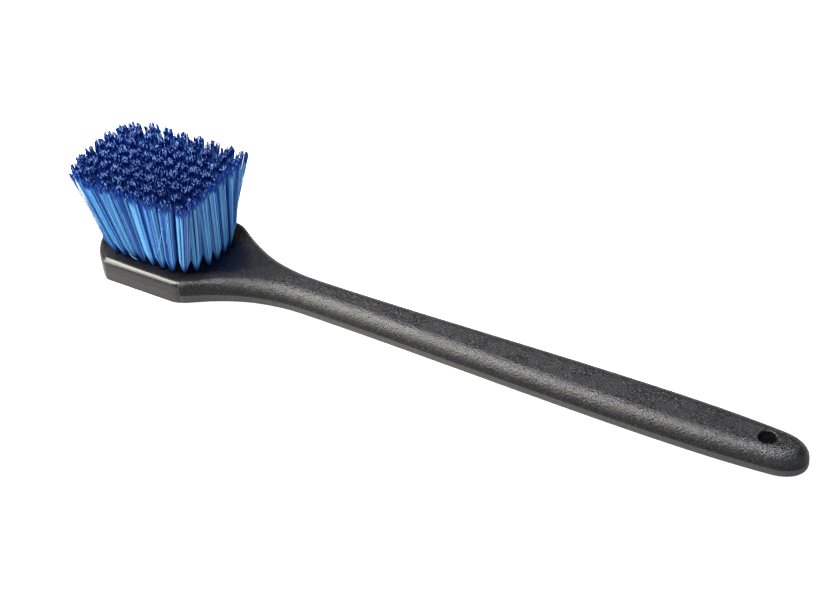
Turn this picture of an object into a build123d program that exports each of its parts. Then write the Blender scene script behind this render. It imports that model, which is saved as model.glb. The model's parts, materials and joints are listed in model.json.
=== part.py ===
"""Long-handled wheel brush: a one-piece moulded handle and block, 78 anchored filament tufts and their staples.

Millimetres. +X runs from the block's nose to the handle's tail, +Y to the brush's left, +Z out of the
tufted face. The origin lies on the flat back, under the middle of the tufted field.
"""
import math
import os

from build123d import *

# ---------------------------------------------------------------- driving dimensions
overall_length = 508.0          # nose of the block to the tail of the handle
thickness = 17.2                # flat back to flat face, block and handle alike

block_width = 77.4
block_length = 84.0             # nose to the corners where the shoulders begin
nose_depth = 22.0               # how far the rounded nose stands in front of the straight sides
nose_corner_radius = 6.0        # where the nose turns into the sides
block_top_radius = 4.4
block_bottom_radius = 0.8
corner_rounding = 5.0           # how far before and after its corner the block's side is rounded
corner_fade = 7.0               # length in which the block's lower edge rounds off to its corner
corner_bottom_radius = 2.8

neck_from_nose = 164.0          # the narrowest place, where the shoulders end
neck_width = 25.4
shoulder_fade = 47.0            # length in which the shoulder's edges take on the handle's rounding
grip_width = 34.0               # the widest place of the grip
grip_from_tail = 108.0
tail_width = 28.2               # across the handle where its rounded tail begins
tail_rounding = 18.0            # length of the rounded tail
handle_top_radius = 9.0
handle_bottom_radius = 4.5

hang_hole_radius = 5.5
hang_hole_from_tail = 25.7
hang_hole_chamfer = 0.5

# tufted field
tuft_pitch = 8.05               # wanted distance between neighbouring tufts in a row
rows_each_side = 4
side_margin = 11.2              # block's side to the centres of the outer row
nose_margin = 12.0              # block's rounded nose to the first tufts' centres
field_overrun = 8.5             # how far the last tufts stand behind the block's corners
corner_wall = 1.0               # least wall between the outer row's last holes and the row beside them

hole_radius = 2.0
hole_depth = 12.0
shank_clearance = 0.05          # tuft to wall of its hole
trim_length = 63.5              # face of the block to the trimmed tips
tip_radius = 4.5
tip_gap = 0.15                  # least space left round a tuft's tips
collar_height = 0.9             # where a tuft begins to open, above the face
fan_across = 1.262              # spacing of the rows at the tips over their spacing at the holes
fan_along = 1.2                 # length of the field at the tips over its length at the holes
forward_rake = 4.8              # how far the middle of the tips lies in front of the middle of the holes
tips_corner_radius = 21.0       # rounding of the tips' front corners
tips_corner_spacing = 5.5       # least distance of the outer row's first tips from the row beside them
tips_corner_share = 0.4         # how much of the holes' rounded rear corners still shows at the tips

staple_thickness = 0.5
staple_width = 1.9              # along the hole
staple_bite = 0.3               # each end, into the wall of the hole
staple_height = 2.4             # floor of the hole to the lower edge of the staple


half_block = block_width / 2
row_pitch = (half_block - side_margin) / (rows_each_side - 0.5)
field_rear_from_nose = block_length + field_overrun
origin_from_nose = (nose_margin + field_rear_from_nose) / 2
field_corner_radius = (rows_each_side - 1) * row_pitch
field_corner_spacing = 2 * hole_radius + corner_wall


def from_nose(distance):
    """X of a place given by its distance from the nose of the block."""
    return distance - origin_from_nose


# ---------------------------------------------------------------- moulded handle and block
nose_radius = (half_block ** 2 + nose_depth ** 2) / (2 * nose_depth)
shoulder_run = neck_from_nose - block_length
shoulder_rise = half_block - neck_width / 2
shoulder_radius = (shoulder_run ** 2 + shoulder_rise ** 2) / (2 * shoulder_rise)


def shoulder_half_width(distance):
    """Half width of the shoulder, a hollow arc that meets the neck without a corner."""
    to_neck = neck_from_nose - distance
    return neck_width / 2 + shoulder_radius - math.sqrt(shoulder_radius ** 2 - to_neck ** 2)


def blend(start, end, share):
    """Smooth step from start to end as share goes from 0 to 1."""
    share = min(max(share, 0.0), 1.0)
    return start + (end - start) * share * share * (3 - 2 * share)


def block_body():
    """The straight-sided block with its rounded nose, up to where its lower edge begins to round off."""
    rear = from_nose(block_length - corner_fade)
    with BuildPart() as body:
        with BuildSketch():
            with BuildLine():
                Polyline(
                    (from_nose(nose_depth), -half_block),
                    (rear, -half_block),
                    (rear, half_block),
                    (from_nose(nose_depth), half_block),
                )
                ThreePointArc(
                    (from_nose(nose_depth), half_block),
                    (from_nose(0), 0),
                    (from_nose(nose_depth), -half_block),
                )
            make_face()
        extrude(amount=thickness)
        front_corners = body.edges().filter_by(Axis.Z).sort_by(Axis.X)[:2]
        fillet(front_corners, nose_corner_radius)
        top = body.faces().sort_by(Axis.Z)[-1].edges().filter_by(Axis.Y, reverse=True)
        fillet(top, block_top_radius)
        bottom = body.faces().sort_by(Axis.Z)[0].edges().filter_by(Axis.Y, reverse=True)
        fillet(bottom, block_bottom_radius)
    return body.part


def top_radius_at(distance):
    """Rounding of the upper edge, which grows behind the block's corners."""
    return blend(block_top_radius, handle_top_radius, (distance - block_length) / shoulder_fade)


def bottom_radius_at(distance):
    """Rounding of the lower edge, which grows quickly up to the corners and then slowly behind them."""
    if distance < block_length:
        share = (distance - block_length) / corner_fade + 1
        return block_bottom_radius + (corner_bottom_radius - block_bottom_radius) * share
    return blend(corner_bottom_radius, handle_bottom_radius, (distance - block_length) / shoulder_fade)


def section(distance, half_width):
    """One cross-section: a rectangle with rounded upper and lower corners."""
    plane = Plane(origin=(from_nose(distance), 0, 0), x_dir=(0, 1, 0), z_dir=(1, 0, 0))
    outline = Location((0, thickness / 2)) * Rectangle(2 * half_width, thickness)
    outline = fillet(outline.vertices().group_by(Axis.Y)[-1], top_radius_at(distance))
    outline = fillet(outline.vertices().group_by(Axis.Y)[0], bottom_radius_at(distance))
    return plane * outline


def corner_body():
    """The stretch round the block's corners, where its sides turn into the hollow shoulders."""
    steps = 4
    turned_width = shoulder_half_width(block_length + corner_rounding)
    sections = [section(block_length - corner_fade, half_block)]
    for step in range(steps + 1):
        share = step / steps
        distance = block_length + corner_rounding * (2 * share - 1)
        half_width = half_block + (turned_width - half_block) * share ** 2
        sections.append(section(distance, half_width))
    return loft(sections, ruled=True)


def shoulder_body():
    """The stretch that narrows behind the corners to the neck, its upper edge rounding off as it goes."""
    steps = 8
    start = block_length + corner_rounding
    sections = []
    for step in range(steps + 1):
        distance = start + (neck_from_nose - start) * step / steps
        sections.append(section(distance, shoulder_half_width(distance)))
    return loft(sections)


def grip_body():
    """Neck to tail: swelling to the grip, then narrowing to the rounded tail."""
    tail_start = overall_length - tail_rounding
    with BuildPart() as body:
        with BuildSketch():
            with BuildLine():
                side = Spline(
                    (from_nose(neck_from_nose), neck_width / 2),
                    (from_nose(overall_length - grip_from_tail), grip_width / 2),
                    (from_nose(tail_start), tail_width / 2),
                    tangents=((1, 0), (1, -0.09)),
                    tangent_scalars=(1, 1),
                )
                lead = side % 1
                handle = 0.55 * tail_rounding
                Bezier(
                    side @ 1,
                    side @ 1 + lead * handle,
                    (from_nose(overall_length), 0.55 * tail_width / 2),
                    (from_nose(overall_length), 0),
                )
                Line((from_nose(overall_length), 0), (from_nose(neck_from_nose), 0))
                Line((from_nose(neck_from_nose), 0), side @ 0)
            make_face()
            mirror(about=Plane.XZ)
        extrude(amount=thickness)
        top = body.faces().sort_by(Axis.Z)[-1].edges().filter_by(Axis.Y, reverse=True)
        fillet(top, handle_top_radius)
        bottom = body.faces().sort_by(Axis.Z)[0].edges().filter_by(Axis.Y, reverse=True)
        fillet(bottom, handle_bottom_radius)
    return body.part


def hanging_hole():
    """Tool for the hole through the tail, with a small chamfer at both mouths."""
    x = from_nose(overall_length - hang_hole_from_tail)
    mouth = hang_hole_radius + hang_hole_chamfer
    bore = Location((x, 0, thickness / 2)) * Cylinder(hang_hole_radius, thickness)
    lower = Location((x, 0, hang_hole_chamfer / 2)) * Cone(mouth, hang_hole_radius, hang_hole_chamfer)
    upper = Location((x, 0, thickness - hang_hole_chamfer / 2)) * Cone(hang_hole_radius, mouth, hang_hole_chamfer)
    return [bore, lower, upper]


# ---------------------------------------------------------------- tufted field
def front_limit(y):
    """First tuft centre of a row at y: an arc that keeps nose_margin from the rounded nose."""
    return nose_radius - math.sqrt((nose_radius - nose_margin) ** 2 - y ** 2)


def corner_turn(number, row_gap, radius, spacing):
    """Angle round a field's rounded corner, from straight sideways, at which a row ends."""
    rows_outside = rows_each_side - 1 - number
    if rows_outside == 0:
        return math.acos((radius - row_gap + spacing) / radius)
    return math.acos(max(radius - rows_outside * row_gap, 0.0) / radius)


def short_of_side(from_end, radius):
    """How far a field's rounded corner lies inside its straight side, at a distance from the field's end."""
    return radius - math.sqrt(radius ** 2 - max(radius - from_end, 0.0) ** 2)


def hole_row(number):
    """Holes of one row on the left, front to back, as (X, Y)."""
    y = (number + 0.5) * row_pitch
    rear = from_nose(field_rear_from_nose)
    turn = corner_turn(number, row_pitch, field_corner_radius, field_corner_spacing)
    first = from_nose(front_limit(y))
    last = rear - field_corner_radius * (1 - math.sin(turn))
    side = (rows_each_side - 0.5) * row_pitch
    gaps = round((last - first) / tuft_pitch)
    row = []
    for place in range(gaps + 1):
        x = first + (last - first) * place / gaps
        row.append((x, min(y, side - short_of_side(rear - x, field_corner_radius))))
    return row


def tip_row(number, holes):
    """Tips of the same row, as (X, Y): evenly spaced, with rounded front corners and a straight rear edge."""
    row_gap = fan_across * row_pitch
    y = (number + 0.5) * row_gap
    front = fan_along * from_nose(nose_margin) - forward_rake
    last = fan_along * from_nose(field_rear_from_nose) - forward_rake
    turn = corner_turn(number, row_gap, tips_corner_radius, tips_corner_spacing)
    first = front + tips_corner_radius * (1 - math.sin(turn))
    side = (rows_each_side - 0.5) * row_gap
    row = []
    for place, (hole_x, hole_y) in enumerate(holes):
        x = first + (last - first) * place / (len(holes) - 1)
        rear_shortfall = (number + 0.5) * row_pitch - hole_y
        edge = side - short_of_side(x - front, tips_corner_radius)
        row.append((x, min(y, edge) - tips_corner_share * rear_shortfall))
    return row


def row_axes(number):
    """Mouth of each hole of a row on the left and the unit direction its tuft leans in."""
    holes = hole_row(number)
    axes = []
    for hole, tip in zip(holes, tip_row(number, holes)):
        mouth = Vector(*hole, thickness)
        axes.append((mouth, (Vector(*tip, thickness + trim_length) - mouth).normalized()))
    return axes


def along(mouth, lean, distance):
    """Plane square to a tuft, at a distance from the mouth of its hole. Its X lies across the brush."""
    return Plane(origin=mouth + lean * distance, x_dir=Vector(0, 1, 0).cross(lean), z_dir=lean)


def hole_tool(mouth, lean):
    """Blind hole for one tuft, run out past the face so that it cuts clean."""
    runout = 3.0
    return along(mouth, lean, (runout - hole_depth) / 2) * Cylinder(hole_radius, hole_depth + runout)


def staple(mouth, lean):
    """Flat wire anchor across the fold of a tuft, its two ends bitten into the wall of the hole."""
    middle = staple_height + staple_width / 2 - hole_depth
    length = 2 * (hole_radius + staple_bite)
    return along(mouth, lean, middle) * Box(staple_thickness, length, staple_width)


def tip_of(mouth, lean):
    """Middle of a tuft's trimmed tips."""
    return mouth + lean * (trim_length / lean.Z)


def opened_radius(tip, all_tips):
    """Radius of a tuft's tips: tip_radius, or less where its nearest neighbour stands closer."""
    nearest = sorted((other - tip).length for other in all_tips)[1]
    return min(tip_radius, nearest / 2 - tip_gap)


def tuft(mouth, lean, end_radius):
    """Plain closed form of one tuft: shank round its staple, opening to the trimmed tips."""
    shank_radius = hole_radius - shank_clearance
    shank_length = hole_depth + collar_height
    shank = along(mouth, lean, shank_length / 2 - hole_depth) * Cylinder(shank_radius, shank_length)
    flare_length = trim_length / lean.Z
    overrun = 4.0
    opening = (end_radius - shank_radius) / (flare_length - collar_height)
    flare_top = flare_length + overrun
    overrun_radius = end_radius + opening * overrun
    flare = along(mouth, lean, (collar_height + flare_top) / 2) * Cone(
        shank_radius, overrun_radius, flare_top - collar_height
    )
    above = Location((mouth.X, mouth.Y, thickness + trim_length + trim_length / 2)) * Box(
        trim_length, trim_length, trim_length
    )
    return shank + flare - above - staple(mouth, lean)


def mirrored(shape):
    """The same shape on the other side of the brush's middle plane."""
    return mirror(shape, about=Plane.XZ)


# ---------------------------------------------------------------- build
os.makedirs("parts", exist_ok=True)
row_names = ("inner", "second", "third", "outer")
rows = [row_axes(number) for number in range(rows_each_side)]
left_tips = [tip_of(mouth, lean) for row in rows for mouth, lean in row]
all_tips = left_tips + [Vector(tip.X, -tip.Y, tip.Z) for tip in left_tips]
cutters = hanging_hole()

for row_name, row in zip(row_names, rows):
    staples = []
    for number, (mouth, lean) in enumerate(row, start=1):
        left_tuft = tuft(mouth, lean, opened_radius(tip_of(mouth, lean), all_tips))
        left_staple = staple(mouth, lean)
        left_hole = hole_tool(mouth, lean)
        staples += [left_staple, mirrored(left_staple)]
        cutters += [left_hole, mirrored(left_hole), left_staple, mirrored(left_staple)]
        pair = Compound(children=[left_tuft, mirrored(left_tuft)])
        export_step(pair, f"parts/tufts_{row_name}_{number:02d}.step")
    export_step(Compound(children=staples), f"parts/staples_{row_name}.step")

handle_block = block_body() + corner_body() + shoulder_body() + grip_body()
handle_block = handle_block.cut(*cutters)
export_step(handle_block, "parts/handle_block.step")
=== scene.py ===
"""Looks of a long-handled wheel brush: a stippled black handle and block, and trimmed blue filaments."""

import json
import math

import bpy
import numpy as np
from mathutils import Matrix, Vector

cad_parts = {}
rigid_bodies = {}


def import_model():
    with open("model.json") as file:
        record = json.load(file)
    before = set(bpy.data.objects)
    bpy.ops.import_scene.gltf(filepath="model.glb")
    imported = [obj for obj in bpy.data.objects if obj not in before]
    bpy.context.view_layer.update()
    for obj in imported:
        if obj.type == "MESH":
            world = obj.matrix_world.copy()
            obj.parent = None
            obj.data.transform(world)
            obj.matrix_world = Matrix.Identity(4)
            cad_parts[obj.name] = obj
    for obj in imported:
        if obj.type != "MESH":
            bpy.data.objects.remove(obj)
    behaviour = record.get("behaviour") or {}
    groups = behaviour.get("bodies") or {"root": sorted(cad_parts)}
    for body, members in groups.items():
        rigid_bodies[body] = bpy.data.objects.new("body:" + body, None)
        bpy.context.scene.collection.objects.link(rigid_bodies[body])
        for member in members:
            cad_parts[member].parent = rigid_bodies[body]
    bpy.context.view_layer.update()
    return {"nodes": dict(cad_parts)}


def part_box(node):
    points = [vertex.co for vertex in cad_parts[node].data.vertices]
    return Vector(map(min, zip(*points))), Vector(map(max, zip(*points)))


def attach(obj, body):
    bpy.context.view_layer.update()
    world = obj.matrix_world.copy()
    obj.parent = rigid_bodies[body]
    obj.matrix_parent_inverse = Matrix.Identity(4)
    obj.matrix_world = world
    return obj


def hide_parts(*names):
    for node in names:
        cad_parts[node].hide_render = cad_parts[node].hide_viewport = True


bl_info = {
    "name": "Wheel Brush Looks",
    "version": (1, 0, 0),
    "blender": (4, 5, 0),
    "location": "View3D > Sidebar > Wheel Brush",
    "description": "Finishes the wheel brush: handle plastic, filament tufts, anchors and a pale studio",
    "category": "Object",
}

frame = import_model()
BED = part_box("handle_block")[1][2]
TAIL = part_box("handle_block")[1][0]
ROWS = ("inner", "second", "third", "outer")
MM = 0.001


# ---------------------------------------------------------------- settings
class FilamentSettings(bpy.types.PropertyGroup):
    """Sizes and colours of the filaments."""

    ends_per_tuft: bpy.props.IntProperty(
        name="Ends per tuft", description="Filament ends that stand in each hole", default=140,
        min=12, max=400,
    )
    thickness: bpy.props.FloatProperty(
        name="Thickness", description="Width of one filament", default=0.38 * MM, precision=5,
        subtype="DISTANCE", unit="LENGTH",
    )
    root_radius: bpy.props.FloatProperty(
        name="Root radius", description="Radius of a tuft where it leaves its hole", default=0.65 * MM,
        precision=5, subtype="DISTANCE", unit="LENGTH",
    )
    tip_radius: bpy.props.FloatProperty(
        name="Tip radius", description="Radius of a tuft at its trimmed tips", default=4.7 * MM,
        precision=5, subtype="DISTANCE", unit="LENGTH",
    )
    outer_spread: bpy.props.FloatProperty(
        name="Outer spread", description="How much wider the outer rows' tips stand", default=1.18,
        min=1, max=2,
    )
    dome: bpy.props.FloatProperty(
        name="Dome", description="How far a tuft's rim stands below its middle", default=1.1 * MM,
        precision=5, subtype="DISTANCE", unit="LENGTH",
    )
    clumping: bpy.props.FloatProperty(
        name="Clumping", description="How far the tips gather into small bunches", default=0.45, min=0, max=1,
        subtype="FACTOR",
    )
    ragged: bpy.props.FloatProperty(
        name="Ragged trim", description="Typical difference in length between neighbouring tips",
        default=0.55 * MM, precision=5, subtype="DISTANCE", unit="LENGTH",
    )
    # painted shade: the dark blue down in the bed stands in for the shade among the roots
    root_shade_colour: bpy.props.FloatVectorProperty(
        name="Root colour", description="Colour down in the bed", default=(0.001, 0.035, 0.25), size=3,
        min=0, max=1, subtype="COLOR",
    )
    side_colour: bpy.props.FloatVectorProperty(
        name="Side colour", description="Colour along the length", default=(0.022, 0.25, 0.80), size=3,
        min=0, max=1, subtype="COLOR",
    )
    # painted shade: the dark navy of the last few millimetres stands in for the shade between the filament
    # ends
    tip_shade_colour: bpy.props.FloatVectorProperty(
        name="Tip colour", description="Colour of the last few millimetres", default=(0.0004, 0.006, 0.105),
        size=3, min=0, max=1, subtype="COLOR",
    )
    # painted glint: the pale cut ends stand in for highlights on the trimmed ends
    cut_glint_colour: bpy.props.FloatVectorProperty(
        name="Cut colour", description="Colour of the bright cut ends", default=(0.30, 0.52, 1.0), size=3,
        min=0, max=1, subtype="COLOR",
    )


class HandleSettings(bpy.types.PropertyGroup):
    """Finish of the moulded handle and block."""

    colour: bpy.props.FloatVectorProperty(
        name="Plastic", description="Colour of the moulded plastic", default=(0.0055, 0.0055, 0.006), size=3,
        min=0, max=1, subtype="COLOR",
    )
    stipple: bpy.props.FloatProperty(
        name="Stipple grain", description="Size of one grain of the stipple", default=0.95 * MM, precision=5,
        subtype="DISTANCE", unit="LENGTH",
    )
    stipple_height: bpy.props.FloatProperty(
        name="Stipple height", description="Height of the stipple", default=0.42 * MM, precision=5,
        subtype="DISTANCE", unit="LENGTH",
    )
    smooth_end: bpy.props.FloatProperty(
        name="Smooth up to", description="X of the block's corners, where the stipple begins",
        default=31.75 * MM, precision=5, subtype="DISTANCE", unit="LENGTH",
    )
    parting_height: bpy.props.FloatProperty(
        name="Parting line", description="Height of the mould's parting line", default=7.7 * MM, precision=5,
        subtype="DISTANCE", unit="LENGTH",
    )


class StageSettings(bpy.types.PropertyGroup):
    """Camera and floor."""

    azimuth: bpy.props.FloatProperty(
        name="Azimuth", description="Direction of the camera round the brush", default=math.radians(33.18),
        subtype="ANGLE", unit="ROTATION",
    )
    elevation: bpy.props.FloatProperty(
        name="Elevation", description="Height of the camera above the horizon", default=math.radians(39.07),
        subtype="ANGLE", unit="ROTATION",
    )
    roll: bpy.props.FloatProperty(
        name="Roll", description="Tilt of the camera", default=math.radians(-4.41),
        subtype="ANGLE", unit="ROTATION",
    )
    distance: bpy.props.FloatProperty(
        name="Distance", description="Camera to the point it looks at", default=1.19524, subtype="DISTANCE",
        unit="LENGTH",
    )
    lens: bpy.props.FloatProperty(name="Lens", description="Focal length in millimetres", default=78.7)
    target: bpy.props.FloatVectorProperty(
        name="Target", description="Point the camera looks at", default=(0.17933, 0.02654, 0.010), size=3,
        subtype="TRANSLATION", unit="LENGTH",
    )
    floor_colour: bpy.props.FloatVectorProperty(
        name="Floor", description="Colour of the floor", default=(0.92, 0.92, 0.92), size=3, min=0, max=1,
        subtype="COLOR",
    )


# ---------------------------------------------------------------- helpers
def deselect():
    """Leaves nothing selected or active."""
    for item in bpy.context.view_layer.objects:
        item.select_set(False)
    bpy.context.view_layer.objects.active = None


class NodeKit:
    """Adds and links the nodes of one tree: sockets or plain values go in, and an output comes back."""

    def __init__(self, tree):
        self.nodes = tree.nodes
        self.links = tree.links

    def feed(self, socket, value):
        """Links an output to a socket, or sets the socket's own value."""
        if isinstance(value, bpy.types.NodeSocket):
            self.links.new(value, socket)
        else:
            socket.default_value = value

    def maths(self, operation, *values, clamp=False):
        """One sum of sockets or numbers."""
        node = self.nodes.new("ShaderNodeMath")
        node.operation = operation
        node.use_clamp = clamp
        for socket, value in zip(node.inputs, values):
            self.feed(socket, value)
        return node.outputs[0]

    def ramp(self, value, start, end, low=0.0, high=1.0):
        """Smooth step of a value from start to end, between low and high."""
        node = self.nodes.new("ShaderNodeMapRange")
        node.interpolation_type = "SMOOTHSTEP"
        inputs = {"Value": value, "From Min": start, "From Max": end, "To Min": low, "To Max": high}
        for name, number in inputs.items():
            self.feed(node.inputs[name], number)
        return node.outputs["Result"]

    def mix(self, share, first, second):
        """Mix of two colours, each a socket or a plain colour."""
        node = self.nodes.new("ShaderNodeMix")
        node.data_type = "RGBA"
        sockets = {socket.name: socket for socket in node.inputs if socket.enabled}
        self.feed(sockets["Factor"], share)
        for name, colour in (("A", first), ("B", second)):
            plain = not isinstance(colour, bpy.types.NodeSocket)
            self.feed(sockets[name], (*colour, 1) if plain else colour)
        return [socket for socket in node.outputs if socket.enabled][0]

    def axes(self, vector):
        """X, Y and Z of a vector."""
        node = self.nodes.new("ShaderNodeSeparateXYZ")
        self.feed(node.inputs[0], vector)
        return node.outputs[0], node.outputs[1], node.outputs[2]

    def noise(self, vector, scale, detail=2.0, roughness=0.5):
        """Value of a noise texture."""
        node = self.nodes.new("ShaderNodeTexNoise")
        inputs = {"Vector": vector, "Scale": scale, "Detail": detail, "Roughness": roughness}
        for name, value in inputs.items():
            self.feed(node.inputs[name], value)
        return node.outputs["Fac"]

    def stretched(self, vector, scale):
        """A vector scaled by axis."""
        node = self.nodes.new("ShaderNodeMapping")
        self.feed(node.inputs["Vector"], vector)
        node.inputs["Scale"].default_value = scale
        return node.outputs["Vector"]

    def object_place(self):
        """Object coordinates."""
        return self.nodes.new("ShaderNodeTexCoord").outputs["Object"]

    def seen_by_camera(self):
        """1 for what the camera sees itself, 0 for what only lights or is mirrored."""
        return self.nodes.new("ShaderNodeLightPath").outputs["Is Camera Ray"]


def new_material(name):
    """A node material, as (material, its node kit, its shader)."""
    material = bpy.data.materials.new(name)
    material.use_nodes = True
    return material, NodeKit(material.node_tree), material.node_tree.nodes["Principled BSDF"]


def tinted(colour, factors):
    """A colour multiplied channel by channel, none over 1."""
    return tuple(min(1.0, channel * factor) for channel, factor in zip(colour, factors))


def paint(item, material):
    """Gives a CAD node's object the material in every slot."""
    if not item.material_slots:
        raise RuntimeError(item.name + " has no material slot")
    for place in item.material_slots:
        place.material = material


# ---------------------------------------------------------------- handle plastic
BED_MIDDLE = -4 * MM            # X of the middle of the bed under the tufts
BED_HALF_LENGTH = 62 * MM
BED_HALF_WIDTH = 27 * MM
BED_FADE = (0.75, 1.35)         # squared distance from its middle, in half lengths and half widths
TOP_STIPPLE = 0.45              # how much of the handle's stipple the block's flat top has
BED_STIPPLE = 0.16              # and how much of that is left in the bed
PARTING_WIDTH = (0.08 * MM, 0.32 * MM)
PARTING_DEPTH = (0.35, 0.85)    # on the smooth block, and on the handle
CREASE_FADE_IN = (95 * MM, 160 * MM)                    # X, along the shoulders
CREASE_FADE_OUT = (TAIL - 100 * MM, TAIL - 30 * MM)     # X, towards the tail
LINE_DEPTH = 1.2                # in stipple heights

# painted glints: pale specks in the stipple stand in for highlights on its grains
STIPPLE_GLINT_TINT = (6.0, 6.0, 6.0)    # tints multiply the plastic's colour
# painted sheen: the block's upright sides lighter, standing in for their reflection of the floor
SIDE_SHEEN_TINT = (3.0, 3.0, 3.0)
# painted shade under the tufts, with a painted blue reflection of the filaments
BED_SHADE_AND_REFLECTION_TINT = (0.2, 0.6, 1.7)
# painted shade in the sunk mould lines
LINE_SHADE_TINT = (0.25, 0.25, 0.25)
# painted reflection of the floor on the band below the parting line
FLOOR_REFLECTION_COLOUR = (0.085, 0.085, 0.083)
FLOOR_REFLECTION_AMOUNT = (0.05, 0.34)     # below the parting line: on the block, and on the handle
SCRATCH_COLOUR = (0.075, 0.075, 0.072)
SCRATCH_SCALE = (60, 260, 2600)     # long and thin along the block's side

PLASTIC_ROUGHNESS = 0.23
STIPPLE_ROUGHNESS = 0.05        # added by the stipple
LINE_ROUGHNESS = 0.3            # added by the mould's lines
WEAR_SCALE = 40.0
WEAR = (0.85, 1.25)             # times the roughness, where least and most worn
SHINE = (0.16, 0.5)             # specular level of upright faces, and of faces turned up
LOW_SHINE = 0.5                 # at least this below the parting line
BLOCK_SHINE = 0.4               # and this on the block


def tufted_bed(kit, x, y, flat_top):
    """1 under the tufts, fading out in an oval round them."""
    along = kit.maths("DIVIDE", kit.maths("SUBTRACT", x, BED_MIDDLE), BED_HALF_LENGTH)
    across = kit.maths("DIVIDE", y, BED_HALF_WIDTH)
    far = kit.maths("ADD", kit.maths("MULTIPLY", along, along), kit.maths("MULTIPLY", across, across))
    return kit.maths("MULTIPLY", kit.ramp(far, *BED_FADE, 1.0, 0.0), flat_top)


def mould_lines(kit, x, z, up, behind_corner, settings):
    """The parting line round the moulding and the fine crease along each side of the grip."""
    gap = kit.maths("ABSOLUTE", kit.maths("SUBTRACT", z, settings.parting_height))
    parting = kit.ramp(gap, *PARTING_WIDTH, 1.0, 0.0)
    parting = kit.maths("MULTIPLY", parting, kit.ramp(behind_corner, 0.0, 1.0, *PARTING_DEPTH))
    # the crease runs where the top has only just begun to turn down
    turning = kit.maths("MULTIPLY", kit.ramp(up, 0.992, 0.9965), kit.ramp(up, 0.9985, 0.9999, 1.0, 0.0))
    reach = kit.maths("MULTIPLY", kit.ramp(x, *CREASE_FADE_IN), kit.ramp(x, *CREASE_FADE_OUT, 1.0, 0.0))
    return kit.maths("MAXIMUM", parting, kit.maths("MULTIPLY", turning, reach))


def stipple_grain(kit, where, settings):
    """Height of the stipple: coarse grains with small pits between them."""
    coarse = kit.noise(where, 1.0 / settings.stipple, 3.0, 0.62)
    pits = kit.nodes.new("ShaderNodeTexVoronoi")
    kit.feed(pits.inputs["Vector"], where)
    pits.inputs["Scale"].default_value = 0.95 / settings.stipple
    pits.inputs["Randomness"].default_value = 1.0
    return kit.maths("ADD", coarse, kit.maths("MULTIPLY", pits.outputs["Distance"], 0.55))


def plastic_colour(kit, where, settings, amount, on_side, floor_reflection, bed, line):
    """Black with painted glints in the stipple, painted sheen on the block's sides, a painted floor
    reflection below the parting line, scratches, painted shade and blue reflection in the bed, and painted
    shade in the dark lines.
    """
    plastic = tuple(settings.colour)
    # painted glints on the stipple's grains
    stipple_glints = kit.ramp(kit.noise(where, 1.25 / settings.stipple, 1.0, 0.5), 0.52, 0.64)
    body = kit.mix(kit.maths("MULTIPLY", stipple_glints, amount), plastic, tinted(plastic, STIPPLE_GLINT_TINT))
    # painted sheen on the block's upright sides
    body = kit.mix(kit.maths("MULTIPLY", on_side, 0.55), body, tinted(plastic, SIDE_SHEEN_TINT))
    # painted floor reflection below the parting line
    body = kit.mix(floor_reflection, body, FLOOR_REFLECTION_COLOUR)
    scratches = kit.ramp(kit.noise(kit.stretched(where, SCRATCH_SCALE), 1.0, 3.0, 0.6), 0.56, 0.75)
    scratched = kit.maths("MULTIPLY", scratches, kit.maths("MULTIPLY", on_side, 0.5))
    body = kit.mix(scratched, body, SCRATCH_COLOUR)
    # painted shade under the tufts and a painted blue reflection of the filaments
    body = kit.mix(kit.maths("MULTIPLY", bed, 0.8), body, tinted(plastic, BED_SHADE_AND_REFLECTION_TINT))
    # painted shade in the sunk parting line and crease
    return kit.mix(line, body, tinted(plastic, LINE_SHADE_TINT))


def plastic_roughness(kit, where, amount, line):
    """Glossy plastic, a little rougher in the stipple and in the lines, and worn in patches."""
    worn = kit.ramp(kit.noise(where, WEAR_SCALE, 3.0, 0.6), 0.35, 0.7, *WEAR)
    rough = kit.maths("ADD", PLASTIC_ROUGHNESS, kit.maths("MULTIPLY", amount, STIPPLE_ROUGHNESS))
    rough = kit.maths("MULTIPLY", rough, worn)
    return kit.maths("ADD", rough, kit.maths("MULTIPLY", line, LINE_ROUGHNESS), clamp=True)


def plastic_bump(kit, where, settings, amount, line):
    """Normal of the stipple and the sunk lines."""
    height = kit.maths("MULTIPLY", stipple_grain(kit, where, settings), amount)
    height = kit.maths("SUBTRACT", height, kit.maths("MULTIPLY", line, LINE_DEPTH))
    bump = kit.nodes.new("ShaderNodeBump")
    bump.inputs["Strength"].default_value = 1.0
    bump.inputs["Distance"].default_value = settings.stipple_height
    kit.feed(bump.inputs["Height"], height)
    return bump.outputs["Normal"]


def plastic_shine(kit, up, below, behind_corner):
    """Specular level: duller on the handle's upright faces than on its top, its underside and the block."""
    shine = kit.ramp(up, 0.10, 0.62, *SHINE)
    shine = kit.maths("MAXIMUM", shine, kit.maths("MULTIPLY", below, LOW_SHINE))
    return kit.maths("MAXIMUM", shine, kit.ramp(behind_corner, 0.0, 1.0, BLOCK_SHINE, 0.0))


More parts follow.
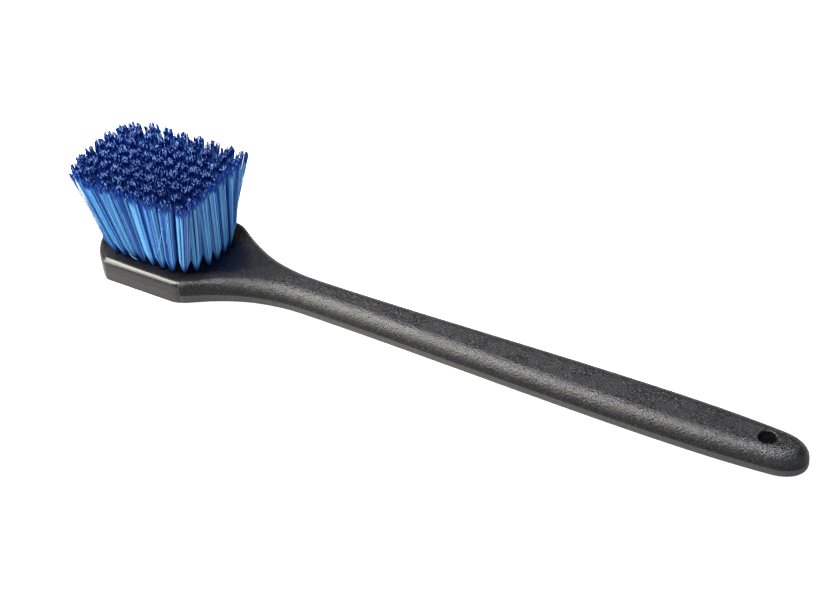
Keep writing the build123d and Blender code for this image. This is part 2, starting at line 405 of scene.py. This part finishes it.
def handle_plastic(settings):
    """Black moulded plastic: stippled handle, satin block sides with painted sheen, smooth bed with painted
    shade and blue reflection, a painted floor reflection below the parting line, and a parting line with
    painted shade.
    """
    material, kit, shader = new_material("moulded_black")
    where = kit.object_place()
    x, y, z = kit.axes(where)
    up = kit.axes(kit.nodes.new("ShaderNodeNewGeometry").outputs["Normal"])[2]

    behind_corner = kit.ramp(x, settings.smooth_end - 0.2 * MM, settings.smooth_end + 0.3 * MM)
    flat_top = kit.ramp(up, 0.93, 0.995)
    on_block = kit.maths("SUBTRACT", 1.0, behind_corner)
    on_side = kit.maths("MULTIPLY", on_block, kit.maths("SUBTRACT", 1.0, flat_top))
    below = kit.ramp(z, settings.parting_height - 0.8 * MM, settings.parting_height, 1.0, 0.0)
    bed = tufted_bed(kit, x, y, flat_top)
    stippled = kit.maths("MAXIMUM", behind_corner, kit.maths("MULTIPLY", flat_top, TOP_STIPPLE))
    amount = kit.maths("MULTIPLY", stippled, kit.ramp(bed, 0.0, 1.0, 1.0, BED_STIPPLE))
    # painted floor reflection: where and how strongly the band below the parting line is lightened
    floor_reflection = kit.maths("MULTIPLY", below, kit.ramp(behind_corner, 0.0, 1.0, *FLOOR_REFLECTION_AMOUNT))
    line = mould_lines(kit, x, z, up, behind_corner, settings)

    colour = plastic_colour(kit, where, settings, amount, on_side, floor_reflection, bed, line)
    kit.feed(shader.inputs["Base Color"], colour)
    kit.feed(shader.inputs["Roughness"], plastic_roughness(kit, where, amount, line))
    kit.feed(shader.inputs["Normal"], plastic_bump(kit, where, settings, amount, line))
    kit.feed(shader.inputs["Specular IOR Level"], plastic_shine(kit, up, below, behind_corner))
    return material


def anchor_steel():
    """Bright flat wire with fine drawing lines."""
    material, kit, shader = new_material("anchor_steel")
    lines = kit.noise(kit.stretched(kit.object_place(), (9000, 900, 9000)), 1.0, 2.0, 0.5)
    kit.feed(shader.inputs["Base Color"], kit.mix(lines, (0.42, 0.42, 0.43), (0.66, 0.66, 0.67)))
    kit.feed(shader.inputs["Roughness"], kit.ramp(lines, 0.2, 0.8, 0.22, 0.42))
    shader.inputs["Metallic"].default_value = 1.0
    return material


# ---------------------------------------------------------------- filaments
STRAND_LEVELS = (0.0, 0.06, 0.13, 0.22, 0.46, 0.70, 0.90, 0.97, 1.0)
FLARE_END = 0.22        # share of a strand's length over which a tuft flares out straight
FLARE_SHARE = 0.70      # share of its opening that it has there
PLAIN_SHARE = 0.30      # strands numbered below this share of all have plain blue tips
DARK_SHARE = 0.72       # from there to this share tips with painted shade, and above it cut ends with a painted glint
BUNCH_SCALE = 0.19      # how quickly the shade changes from one strand number to the next
BUNCH_EDGES = (0.36, 0.64)
CHANCE_WEIGHT = 0.4     # how much a strand's own chance adds to its shade
BUNCH_WEIGHT = 0.8      # and how much its bunch does
CRIMP_WEIGHT = 0.35     # and the painted highlight of its crimp's waves, in the palest bunches
CRIMP_PHASE = 300.0     # radians of the crimp's wave along a strand
CRIMP_SHIFT = 1.35      # and from one strand number to the next
# painted shade on some strands and painted highlights on others, for the streaks of light along the tufts'
# flanks
SHADED_STRAND = (0.05, 0.22, 0.55)        # tints multiply the side colour
LIT_STRAND = (10.0, 2.5, 1.25)
# painted shade in a band just under the tips
NEAR_TIP = (0.12, 0.24, 0.46)
GLINT = (0.50, 0.74, 1.0)               # colour of a few strands along their length
ROOT_SHADE_FADE = (0.02, 0.20)                # fades, as shares of a strand's length from its root
NEAR_TIP_FADE = (0.90, 0.95)
TIP_FADE = (0.935, 0.965)
CUT_GLINT_FADE = (0.972, 0.982)
PLAIN_TIP_AMOUNT = 0.25                 # of the painted tip shade, on strands with plain tips
INNER_SHADE_AMOUNT = 0.42                # of the painted root shade, all along the other strands, as painted shade inside the field
STRAND_ROUGHNESS = (0.30, 0.48)
STRAND_SHINE = 0.22


def strand_chance(kit, number):
    """A number from 0 to 1 for each strand."""
    node = kit.nodes.new("ShaderNodeTexWhiteNoise")
    node.noise_dimensions = "1D"
    kit.feed(node.inputs["W"], number)
    return node.outputs["Value"]


def strand_bunch(kit, number):
    """A number from 0 to 1 that neighbouring strands share."""
    node = kit.nodes.new("ShaderNodeTexNoise")
    node.noise_dimensions = "1D"
    kit.feed(node.inputs["W"], number)
    node.inputs["Scale"].default_value = BUNCH_SCALE
    node.inputs["Detail"].default_value = 1.0
    return kit.ramp(node.outputs["Fac"], *BUNCH_EDGES)


def strand_shade(kit, number, along, chance, bunch):
    """How lit a strand looks here, from painted shade to painted highlight: its own chance, its bunch, and
    the waves of its crimp.
    """
    wave = kit.maths("MULTIPLY", along, CRIMP_PHASE)
    phase = kit.maths("ADD", wave, kit.maths("MULTIPLY", number, CRIMP_SHIFT))
    crimp = kit.maths("MULTIPLY", kit.maths("SINE", phase), kit.ramp(bunch, 0.4, 0.9, 0.0, CRIMP_WEIGHT))
    own = kit.maths("MULTIPLY", chance, CHANCE_WEIGHT)
    own = kit.maths("ADD", own, kit.maths("MULTIPLY", bunch, BUNCH_WEIGHT))
    return kit.maths("ADD", own, crimp)


def strand_length_colour(kit, settings, along, chance, shade):
    """Colour from the painted shade at the root up the length, with painted highlight and shade streaks and a
    painted glint on a few strands.
    """
    side = settings.side_colour
    # painted highlight and shade streaks along the strands, then a painted glint on a few
    length = kit.mix(kit.ramp(shade, 0.22, 0.92), tinted(side, SHADED_STRAND), tinted(side, LIT_STRAND))
    length = kit.mix(kit.ramp(chance, 0.92, 0.95, 0.0, 0.65), length, GLINT)
    # painted shade at the roots
    return kit.mix(kit.ramp(along, *ROOT_SHADE_FADE), tuple(settings.root_shade_colour), length)


def strand_end_colour(kit, settings, columns, number, along, chance, colour):
    """Painted shade on the last millimetres, with a painted glint on the cut ends of the highest numbers and
    plainer tips on the lowest.
    """
    kind = kit.maths("DIVIDE", number, float(columns))
    half_strand = 0.5 / columns
    inside = kit.maths("GREATER_THAN", kind, PLAIN_SHARE - half_strand)
    bright = kit.maths("GREATER_THAN", kind, DARK_SHARE - half_strand)
    # painted shade all along the strands inside the field of tufts
    inner_shade = kit.maths("MULTIPLY", inside, INNER_SHADE_AMOUNT)
    colour = kit.mix(inner_shade, colour, tuple(settings.root_shade_colour))
    # painted shade: strands darkened in a band under the tips and at the tips, less on plain tips
    colour = kit.mix(kit.ramp(along, *NEAR_TIP_FADE), colour, tinted(settings.side_colour, NEAR_TIP))
    darkness = kit.maths("ADD", PLAIN_TIP_AMOUNT, kit.maths("MULTIPLY", inside, 1.0 - PLAIN_TIP_AMOUNT))
    darkness = kit.maths("MULTIPLY", kit.ramp(along, *TIP_FADE), darkness)
    colour = kit.mix(darkness, colour, tuple(settings.tip_shade_colour))
    # painted glint on the cut ends
    glint_amount = kit.maths("MULTIPLY", bright, kit.ramp(along, *CUT_GLINT_FADE))
    glint_amount = kit.maths("MULTIPLY", glint_amount, kit.ramp(chance, 0.0, 1.0, 0.45, 1.0))
    return kit.mix(glint_amount, colour, tuple(settings.cut_glint_colour))


def filament_plastic(settings, columns):
    """Blue filament plastic, drawn on the strand's map: its number across, and its length upwards."""
    material, kit, shader = new_material("filament_blue")
    strand = kit.nodes.new("ShaderNodeUVMap")
    strand.uv_map = "strand"
    across, along = kit.axes(strand.outputs["UV"])[:2]
    number = kit.maths("FLOOR", kit.maths("MULTIPLY", across, float(columns)))
    chance = strand_chance(kit, number)
    shade = strand_shade(kit, number, along, chance, strand_bunch(kit, number))
    colour = strand_length_colour(kit, settings, along, chance, shade)
    colour = strand_end_colour(kit, settings, columns, number, along, chance, colour)
    kit.feed(shader.inputs["Base Color"], colour)
    kit.feed(shader.inputs["Roughness"], kit.ramp(shade, 0.1, 1.1, *STRAND_ROUGHNESS))
    shader.inputs["Specular IOR Level"].default_value = STRAND_SHINE
    return material


CUT_START = 0.96        # share of the length above which the cut end is splayed
CUT_WIDTH = 1.12        # the strand widens by this at each level of its cut end
TAPER = 0.995           # and narrows by this at each level below


def strand_form():
    """One closed three-sided strand, as (corners, faces): unit width, and its height from 0 to 1."""
    deselect()
    bpy.ops.mesh.primitive_circle_add(vertices=3, radius=0.5, fill_type="NGON", location=(0, 0, 0))
    strand = bpy.context.object
    bpy.ops.object.mode_set(mode="EDIT")
    bpy.ops.mesh.select_all(action="SELECT")
    for lower, upper in zip(STRAND_LEVELS, STRAND_LEVELS[1:]):
        bpy.ops.mesh.extrude_region_move(TRANSFORM_OT_translate={"value": (0, 0, upper - lower)})
        width = CUT_WIDTH if upper > CUT_START else TAPER
        bpy.ops.transform.resize(value=(width, width, 1))
    bpy.ops.mesh.select_all(action="SELECT")
    bpy.ops.mesh.normals_make_consistent(inside=False)
    bpy.ops.object.mode_set(mode="OBJECT")
    mesh = strand.data
    corners = np.array([tuple(v.co) for v in mesh.vertices])
    faces = [tuple(f.vertices) for f in mesh.polygons]
    bpy.data.objects.remove(strand)
    bpy.data.meshes.remove(mesh)
    return corners, faces


TOP_BAND = 0.01 * MM    # points this near the highest one are a tuft's tips
FOOT_BAND = 1.2 * MM    # and points this near the lowest one its foot


def tuft_axes(row, side):
    """Mouth and middle of the tips of each tuft in a row on one side, from the row's CAD nodes."""
    axes = []
    nodes = sorted(name for name in frame["nodes"] if name.startswith("tufts_" + row + "_"))
    for name in nodes:
        mesh = frame["nodes"][name].data
        points = np.empty(len(mesh.vertices) * 3)
        mesh.vertices.foreach_get("co", points)
        points = points.reshape(-1, 3)
        points = points[points[:, 1] * side > 0]
        top = points[points[:, 2] > points[:, 2].max() - TOP_BAND]
        foot = points[points[:, 2] < points[:, 2].min() + FOOT_BAND]
        tip = (top.min(0) + top.max(0)) / 2
        root = (foot.min(0) + foot.max(0)) / 2
        share = (BED - root[2]) / (tip[2] - root[2])
        axes.append((root + (tip - root) * share, tip))
    return nodes, axes


def spread(share):
    """How far a strand has opened from root to tip: a straight flare, then a slower one."""
    return np.interp(share, (0.0, FLARE_END, 1.0), (0.0, FLARE_SHARE, 1.0))


GOLDEN_TURN = 2.399963   # spreads points evenly over a disc
SPOT_JITTER = 0.035      # the shares below are of a tuft's radius
BUNCHES = 11
BUNCH_JITTER = 0.10
GATHER = (0.5, 1.4)      # least and most clumping of a bunch, times the setting
END_JITTER = 0.045
BUNCH_RAGGED = 0.45      # unevenness of the bunches, of single ends and of the short ones,
END_RAGGED = 0.6         # times the ragged trim
SHORT_RAGGED = 1.5
SHORT_SHARE = 0.22       # strands that end below the trim
BURIED = 1.5 * MM        # how deep in its hole a strand begins
BEND = 0.26 * MM


def even_disc(count, turn):
    """Points spread evenly over a disc of radius 1."""
    place = np.arange(count)
    radius = np.sqrt((place + 0.5) / count)
    angle = place * GOLDEN_TURN + turn
    return np.stack([radius * np.cos(angle), radius * np.sin(angle)], 1)


RIM_FROM = 0.1           # how far out on the field's open side the plain tips begin
RIM_SHARE = 0.88         # share of the strands there that are plain
BRIGHT_FROM = 0.30       # luck above which a strand gets a painted glint on its cut end in the middle of its tuft
BRIGHT_FALL = 0.62       # and how much more it takes at the tuft's edge


def strand_numbers(spot, outward, chance):
    """Each strand's number: plain on the field's rim, with painted shade on its tip round a tuft, with a
    painted glint on its cut end in its middle.
    """
    count = len(spot)
    luck = chance.uniform(0, 1, count)
    rim = (spot @ np.array(outward) > RIM_FROM) & (luck < RIM_SHARE)
    bright = ~rim & (luck > BRIGHT_FROM + BRIGHT_FALL * np.hypot(spot[:, 0], spot[:, 1]))
    first = np.where(rim, 0, np.where(bright, DARK_SHARE, PLAIN_SHARE))
    size = np.where(rim, PLAIN_SHARE, np.where(bright, 1 - DARK_SHARE, DARK_SHARE - PLAIN_SHARE))
    order = np.argsort(np.argsort(np.arctan2(spot[:, 1], spot[:, 0]))) / count
    share = first + size * ((order + chance.uniform(0, 1)) % 1.0)
    return np.minimum(np.ceil(share * count), count - 1).astype(int)


def bunched_ends(spot, settings, chance):
    """Where the strands end on the tips' disc, drawn towards small bunches, and each strand's bunch."""
    centres = even_disc(BUNCHES, chance.uniform(0, 2 * math.pi))
    centres += chance.normal(0, BUNCH_JITTER, centres.shape)
    bunch = np.argmin(((spot[:, None] - centres[None]) ** 2).sum(2), 1)
    gather = settings.clumping * chance.uniform(*GATHER, (BUNCHES, 1))[bunch]
    end = spot + (centres[bunch] - spot) * gather
    end += chance.normal(0, END_JITTER, end.shape)
    return end, bunch


def trimmed_heights(top, spot, bunch, settings, chance):
    """Height of each strand's end: a trimmed, slightly domed and ragged tuft with some short strands."""
    count = len(spot)
    bunch_height = chance.normal(0, BUNCH_RAGGED * settings.ragged, BUNCHES)[bunch]
    height = top + bunch_height + chance.normal(0, END_RAGGED * settings.ragged, count)
    height -= settings.dome * (spot ** 2).sum(1)
    short = chance.uniform(0, 1, count) < SHORT_SHARE
    height -= np.where(short, chance.exponential(SHORT_RAGGED * settings.ragged, count), 0)
    return height


def strand_lines(mouth, tip, tip_radius, outward, settings, chance):
    """Lines of one tuft's strands: an array of strands by levels by xyz, and each strand's number."""
    count = settings.ends_per_tuft
    spot = even_disc(count, chance.uniform(0, 2 * math.pi))
    spot += chance.normal(0, SPOT_JITTER, spot.shape)
    end, bunch = bunched_ends(spot, settings, chance)
    height = trimmed_heights(tip[2], spot, bunch, settings, chance)
    levels = np.array(STRAND_LEVELS)
    start = mouth[2] - BURIED
    bend = chance.normal(0, BEND, (count, 1, 2)) * np.sin(math.pi * levels)[None, :, None]
    opened = spread(levels)[None, :, None]
    axis = mouth[None, None, :2] + (tip - mouth)[:2][None, None] * levels[None, :, None]
    line = np.empty((count, len(levels), 3))
    from_root = spot[:, None] * settings.root_radius
    to_tip = end[:, None] * tip_radius
    line[:, :, :2] = axis + from_root * (1 - opened) + to_tip * opened + bend
    line[:, :, 2] = start + (height[:, None] - start) * levels[None]
    return line, strand_numbers(spot, outward, chance)


STRAYS = (
    # outer tuft, rise, then how far it runs along, out and up, all in mm, and its curl in half turns
    (2, 9.0, 8.0, 0.5, -3.5, 1.0),
    (5, 14.0, 15.0, 5.0, 36.0, 0.3),
    (6, 26.0, 9.0, 4.0, 28.0, 0.2),
)
STRAY_NUMBER = 4        # the strand number, and so the colour, of every loose strand
STRAY_SAG = 2.0 * MM
STRAY_CLEARANCE = 0.7   # how far outside its tuft's axis a loose strand begins, in tip radii


def stray_lines(axes, clearance):
    """A few loose strands outside the outer row, with their numbers."""
    levels = np.array(STRAND_LEVELS)
    lines = []
    for tuft, rise, run, out, up, curl in STRAYS:
        mouth, tip = axes[tuft]
        start = mouth + (tip - mouth) * rise * MM / (tip[2] - mouth[2])
        outward = math.copysign(1, mouth[1])
        turn = math.pi * curl * levels
        line = np.empty((len(levels), 3))
        line[:, 0] = start[0] + run * MM * levels
        line[:, 1] = start[1] + outward * (clearance + out * MM * levels)
        line[:, 2] = start[2] + up * MM * levels - STRAY_SAG * np.sin(turn)
        lines.append(line)
    return np.stack(lines), np.full(len(lines), STRAY_NUMBER)


WIDTH_SPREAD = (0.85, 1.12)     # thinnest and thickest strand, times the thickness
SMOOTH_ANGLE = math.radians(70)
MAP_MARGIN = 0.15       # of a strand's column on its map, left free at each side
MAP_END = 0.005         # of the map's height, left free at each end


def lay_strands(name, lines, numbers, settings, material, seed):
    """One mesh of many strands, each a copy of the modelled strand laid along its line."""
    corners, faces = strand_form()
    chance = np.random.default_rng(seed)
    levels = np.array(STRAND_LEVELS)
    level = np.argmin(np.abs(corners[:, 2][:, None] - levels[None]), 1)
    count = len(lines)
    each = len(corners)
    turn = chance.uniform(0, 2 * math.pi, count)
    wide = settings.thickness * chance.uniform(*WIDTH_SPREAD, count)
    cos = np.cos(turn)[:, None] * wide[:, None]
    sin = np.sin(turn)[:, None] * wide[:, None]
    points = lines[:, level, :].copy()
    points[:, :, 0] += corners[None, :, 0] * cos - corners[None, :, 1] * sin
    points[:, :, 1] += corners[None, :, 0] * sin + corners[None, :, 1] * cos

    sizes = np.array([len(f) for f in faces])
    loops = np.concatenate([np.array(f) for f in faces])
    mesh = bpy.data.meshes.new(name)
    mesh.vertices.add(count * each)
    mesh.vertices.foreach_set("co", points.reshape(-1))
    mesh.loops.add(count * len(loops))
    all_loops = (loops[None] + each * np.arange(count)[:, None]).reshape(-1)
    mesh.loops.foreach_set("vertex_index", all_loops.astype(np.int32))
    mesh.polygons.add(count * len(faces))
    all_sizes = np.tile(sizes, count)
    mesh.polygons.foreach_set("loop_start", (np.cumsum(all_sizes) - all_sizes).astype(np.int32))
    mesh.update()

    around = (np.arctan2(corners[:, 1], corners[:, 0]) / (2 * math.pi)) % 1.0
    corner_u = MAP_MARGIN + (1 - 2 * MAP_MARGIN) * around
    column_u = (numbers[:, None] + corner_u[loops][None]) / settings.ends_per_tuft
    column_v = np.tile(levels[level][loops][None], (count, 1)) * (1 - 2 * MAP_END) + MAP_END
    uvs = np.stack([column_u, column_v], 2)
    for map_name in ("strand", "OFBake"):
        uv_layer = mesh.uv_layers.new(name=map_name)
        uv_layer.data.foreach_set("uv", uvs.reshape(-1).astype(np.float32))
    mesh.materials.append(material)
    if mesh.validate():
        raise RuntimeError(name + " has a faulty mesh")
    item = bpy.data.objects.new(name, mesh)
    bpy.context.collection.objects.link(item)
    deselect()
    item.select_set(True)
    bpy.context.view_layer.objects.active = item
    bpy.ops.object.shade_smooth_by_angle(angle=SMOOTH_ANGLE)
    deselect()
    return item


# ---------------------------------------------------------------- studio
LAMPS = (
    # name, place, point it shines on, width and height, watts, colour
    ("key", (-0.60, -0.28, 0.95), (0.1, 0, 0.02), (1.0, 0.6), 34, (1.0, 0.95, 0.84)),
    ("overhead", (0.12, -0.05, 1.2), (0.2, 0, 0.02), (0.45, 0.28), 20, (0.88, 0.90, 1.0)),
    ("front_left", (-0.75, -0.59, 0.37), (0, -0.02, 0.03), (0.5, 0.5), 10, (1.0, 0.96, 0.86)),
    ("right", (0.95, -0.55, 0.55), (0, 0, 0.05), (0.4, 0.4), 1.8, (0.74, 0.87, 1.0)),
)
FLOOR_SIZE = 12.0
FLOOR_GLOW = (0.18, 0.9)        # glow of the floor for reflections, and for the camera
FLOOR_SHARE = 0.42              # how much of its colour the floor shows to reflections
SKY_GLOW = (0.09, 1.0)


def area_light(name, place, aim, size, power, colour):
    """A soft rectangular lamp at a place, turned towards a point."""
    lamp = bpy.data.lights.new(name, "AREA")
    lamp.shape = "RECTANGLE"
    lamp.size, lamp.size_y = size
    lamp.energy = power
    lamp.color = colour
    item = bpy.data.objects.new(name, lamp)
    bpy.context.collection.objects.link(item)
    towards = Vector(aim) - Vector(place)
    item.rotation_euler = towards.to_track_quat("-Z", "Y").to_euler()
    item.location = place


def pale_floor(colour):
    """A floor that is bright to the camera, and darker in what it mirrors and lights."""
    material, kit, shader = new_material("pale_floor")
    seen = kit.seen_by_camera()
    tone = kit.ramp(kit.noise(kit.object_place(), 3.0), 0.3, 0.7)
    pale = kit.mix(tone, tuple(0.985 * channel for channel in colour), colour)
    dim = tuple(FLOOR_SHARE * channel for channel in colour)
    kit.feed(shader.inputs["Base Color"], kit.mix(seen, dim, pale))
    shader.inputs["Roughness"].default_value = 0.9
    shader.inputs["Specular IOR Level"].default_value = 0.2
    shader.inputs["Emission Color"].default_value = (1, 1, 1, 1)
    kit.feed(shader.inputs["Emission Strength"], kit.ramp(seen, 0.0, 1.0, *FLOOR_GLOW))
    return material


def studio_world():
    """A white surround to the camera, and a dim one to the brush."""
    world = bpy.data.worlds.new("studio")
    world.use_nodes = True
    kit = NodeKit(world.node_tree)
    background = kit.nodes["Background"]
    kit.feed(background.inputs["Strength"], kit.ramp(kit.seen_by_camera(), 0.0, 1.0, *SKY_GLOW))
    background.inputs["Color"].default_value = (1, 1, 1, 1)
    return world


def studio_camera(settings):
    """A camera turned round the brush by azimuth, elevation and roll."""
    back = Vector((
        math.sin(settings.azimuth) * math.cos(settings.elevation),
        -math.cos(settings.azimuth) * math.cos(settings.elevation),
        math.sin(settings.elevation),
    ))
    right = Vector((0, 0, 1)).cross(back).normalized()
    up = back.cross(right)
    rolled_right = right * math.cos(settings.roll) + up * math.sin(settings.roll)
    rolled_up = up * math.cos(settings.roll) - right * math.sin(settings.roll)
    bpy.ops.object.camera_add()
    camera = bpy.context.object
    camera.name = "camera"
    turned = Matrix((rolled_right, rolled_up, back)).transposed().to_4x4()
    camera.matrix_world = Matrix.Translation(Vector(settings.target) + back * settings.distance) @ turned
    camera.data.lens = settings.lens
    camera.data.sensor_width = 36.0
    camera.data.clip_start = 0.05
    camera.data.clip_end = 50.0
    return camera


# ---------------------------------------------------------------- operators
class WHEELBRUSH_OT_handle(bpy.types.Operator):
    """Finishes the moulded handle and block."""

    bl_idname = "wheel_brush.handle"
    bl_label = "Handle and block"

    def execute(self, context):
        paint(frame["nodes"]["handle_block"], handle_plastic(context.scene.wheel_brush_handle))
        return {"FINISHED"}


class WHEELBRUSH_OT_anchors(bpy.types.Operator):
    """Finishes the wire anchors that hold the tufts in their holes."""

    bl_idname = "wheel_brush.anchors"
    bl_label = "Wire anchors"

    def execute(self, context):
        steel = anchor_steel()
        for row in ROWS:
            paint(frame["nodes"]["staples_" + row], steel)
        return {"FINISHED"}


class WHEELBRUSH_OT_filaments(bpy.types.Operator):
    """Sets the filaments of every tuft, one piece for each row on each side."""

    bl_idname = "wheel_brush.filaments"
    bl_label = "Filament rows"

    def execute(self, context):
        settings = context.scene.wheel_brush_filaments
        material = filament_plastic(settings, settings.ends_per_tuft)
        for row_number, row in enumerate(ROWS):
            for side, side_name in ((1, "left"), (-1, "right")):
                seed = 10 * row_number + side + 5
                chance = np.random.default_rng(seed)
                nodes, axes = tuft_axes(row, side)
                outer = row == ROWS[-1]
                tip_radius = settings.tip_radius * (settings.outer_spread if outer else 1.0)
                tufts = []
                for place, (mouth, tip) in enumerate(axes):
                    along = (place == len(axes) - 1) - (place == 0)
                    outward = (along, side if outer else 0)
                    tufts.append(strand_lines(mouth, tip, tip_radius, outward, settings, chance))
                if outer and side < 0:
                    tufts.append(stray_lines(axes, STRAY_CLEARANCE * tip_radius))
                lines = np.concatenate([line for line, number in tufts])
                numbers = np.concatenate([number for line, number in tufts])
                name = "filaments_" + row + "_" + side_name
                piece = lay_strands(name, lines, numbers, settings, material, seed)
                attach(piece, "root")
                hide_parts(*nodes)
        return {"FINISHED"}


class WHEELBRUSH_OT_stage(bpy.types.Operator):
    """Adds the floor, the soft lamps and the camera."""

    bl_idname = "wheel_brush.stage"
    bl_label = "Studio"

    def execute(self, context):
        settings = context.scene.wheel_brush_stage
        deselect()
        bpy.ops.mesh.primitive_plane_add(size=FLOOR_SIZE, location=(0.2, 0, -0.2 * MM))
        floor = context.object
        floor.name = "floor"
        floor.data.materials.append(pale_floor(tuple(settings.floor_colour)))
        context.scene.world = studio_world()
        for lamp in LAMPS:
            area_light(*lamp)
        context.scene.camera = studio_camera(settings)
        context.scene.view_settings.view_transform = "Standard"
        deselect()
        return {"FINISHED"}


class WHEELBRUSH_PT_panel(bpy.types.Panel):
    """Lists the brush's steps and settings in the sidebar."""

    bl_label = "Wheel Brush"
    bl_idname = "WHEELBRUSH_PT_panel"
    bl_space_type = "VIEW_3D"
    bl_region_type = "UI"
    bl_category = "Wheel Brush"

    def draw(self, context):
        layout = self.layout
        scene = context.scene
        for operator in OPERATORS:
            layout.operator(operator.bl_idname)
        for settings in (scene.wheel_brush_filaments, scene.wheel_brush_handle, scene.wheel_brush_stage):
            box = layout.box()
            for name in settings.bl_rna.properties.keys():
                if name not in ("rna_type", "name"):
                    box.prop(settings, name)


OPERATORS = (WHEELBRUSH_OT_handle, WHEELBRUSH_OT_anchors, WHEELBRUSH_OT_filaments, WHEELBRUSH_OT_stage)
CLASSES = (FilamentSettings, HandleSettings, StageSettings, *OPERATORS, WHEELBRUSH_PT_panel)


def register():
    """Registers the classes and the scene's settings."""
    for item in CLASSES:
        bpy.utils.register_class(item)
    bpy.types.Scene.wheel_brush_filaments = bpy.props.PointerProperty(type=FilamentSettings)
    bpy.types.Scene.wheel_brush_handle = bpy.props.PointerProperty(type=HandleSettings)
    bpy.types.Scene.wheel_brush_stage = bpy.props.PointerProperty(type=StageSettings)


def unregister():
    """Removes the scene's settings and the classes."""
    del bpy.types.Scene.wheel_brush_stage
    del bpy.types.Scene.wheel_brush_handle
    del bpy.types.Scene.wheel_brush_filaments
    for item in reversed(CLASSES):
        bpy.utils.unregister_class(item)


def main():
    """Builds the looks."""
    register()
    bpy.ops.wheel_brush.handle()
    bpy.ops.wheel_brush.anchors()
    bpy.ops.wheel_brush.filaments()
    bpy.ops.wheel_brush.stage()


if __name__ == "__main__":
    main()
